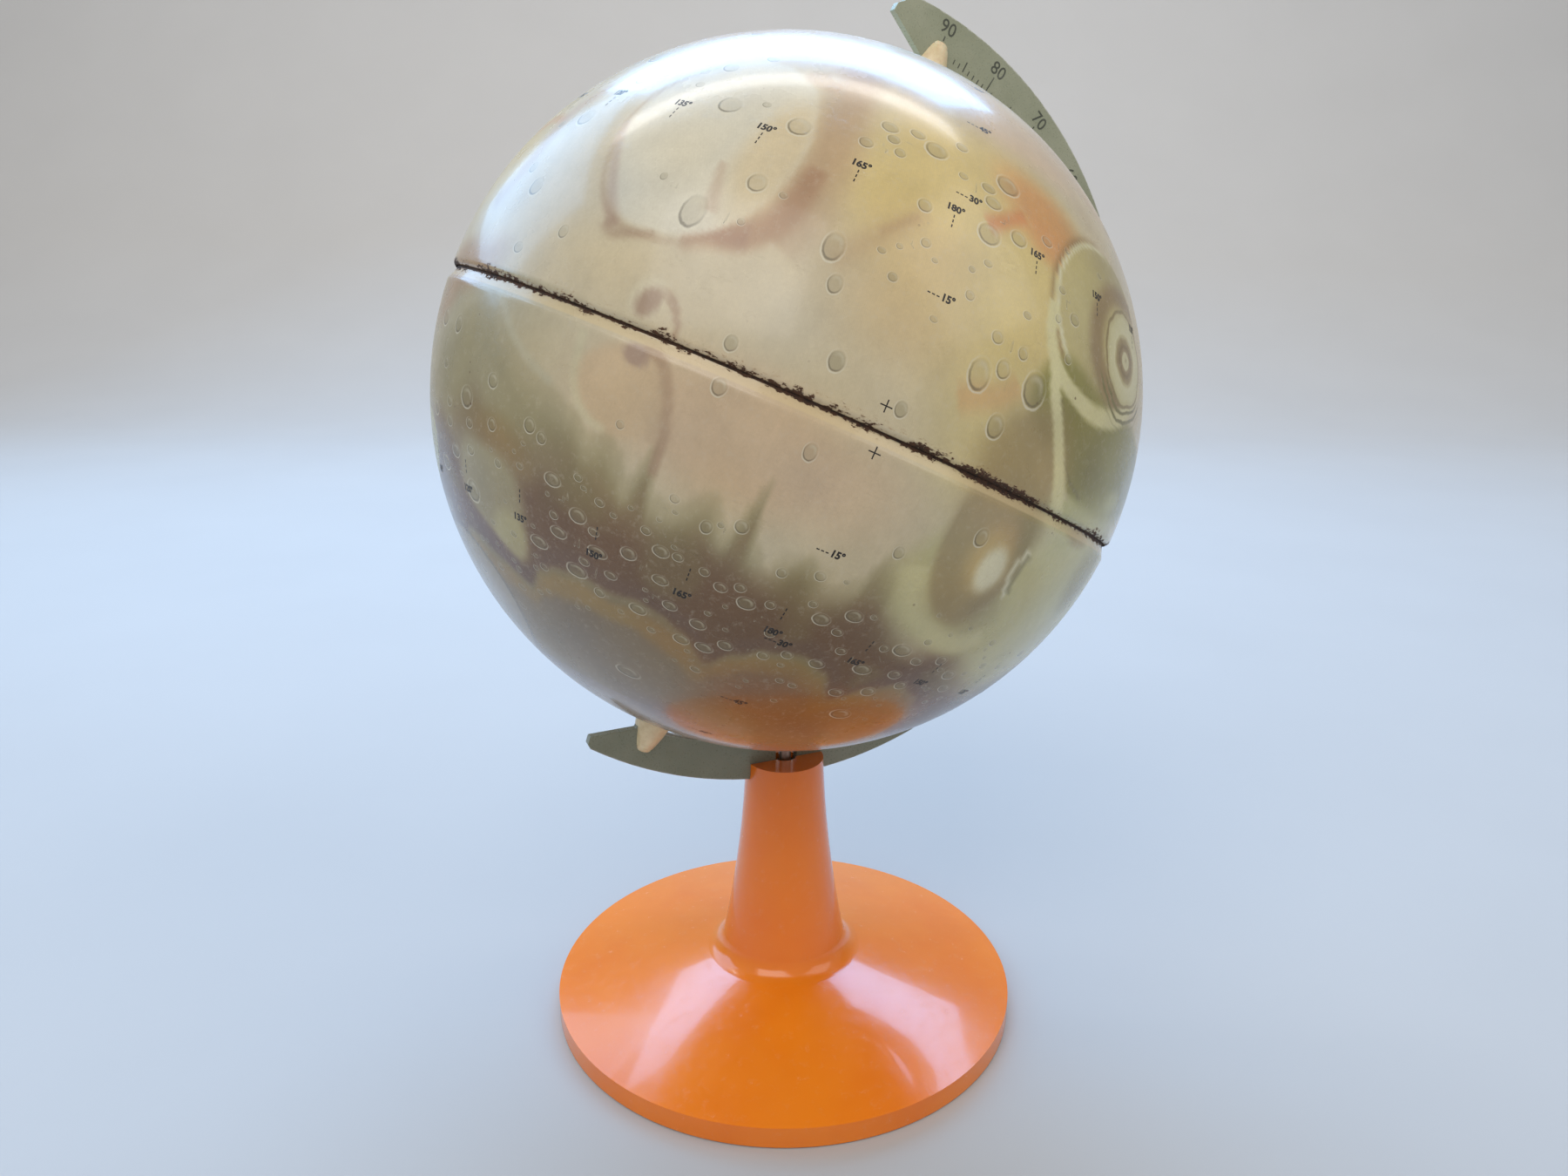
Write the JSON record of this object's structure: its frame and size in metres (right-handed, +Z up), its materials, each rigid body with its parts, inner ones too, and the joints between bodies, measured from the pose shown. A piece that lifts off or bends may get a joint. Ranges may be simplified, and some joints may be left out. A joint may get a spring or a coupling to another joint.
{
  "type": "desktop globe on stand",
  "caption": "Printed tinplate planet globe that spins between cone pivots on a tilted C-shaped meridian arm, held in the slot of a round flared plastic foot.",
  "frame": {"origin": "centre of the felt pad's resting face, on the foot's axis", "axes": "+Z up; the meridian arm lies in the XZ plane; the globe's north pole leans towards +X"},
  "size_m": [0.1681, 0.1524, 0.236],
  "materials": {
    "base_shell": "gloss",
    "ballast_disc": "rolled",
    "ballast_screws": "zinc plated",
    "felt_pad": "felt",
    "tie_bolt": "zinc plated",
    "bolt_washer": "zinc plated",
    "meridian_arm": "satin grey",
    "north_pivot_cone": "satin cream",
    "south_pivot_cone": "satin cream",
    "north_hemisphere": "lacquered litho print",
    "south_hemisphere": "lacquered litho print",
    "axle_rod": "drawn",
    "north_pole_bushing": "satin cream",
    "south_pole_bushing": "satin cream"
  },
  "bodies": {
    "stand": {"base_shell": "base_shell", "ballast_disc": "ballast_disc", "ballast_screws": "ballast_screws", "felt_pad": "felt_pad", "tie_bolt": "tie_bolt", "bolt_washer": "bolt_washer", "meridian_arm": "meridian_arm", "north_pivot_cone": "north_pivot_cone", "south_pivot_cone": "south_pivot_cone"},
    "globe": {"north_hemisphere": "north_hemisphere", "south_hemisphere": "south_hemisphere", "axle_rod": "axle_rod", "north_pole_bushing": "north_pole_bushing", "south_pole_bushing": "south_pole_bushing"}
  },
  "joints": [
    {"name": "globe_spin", "type": "hinge", "parent": "stand", "child": "globe", "pos_m": [0, 0, 0.15], "axis": [0.4256, 0, 0.9049], "continuous": true}
  ]
}
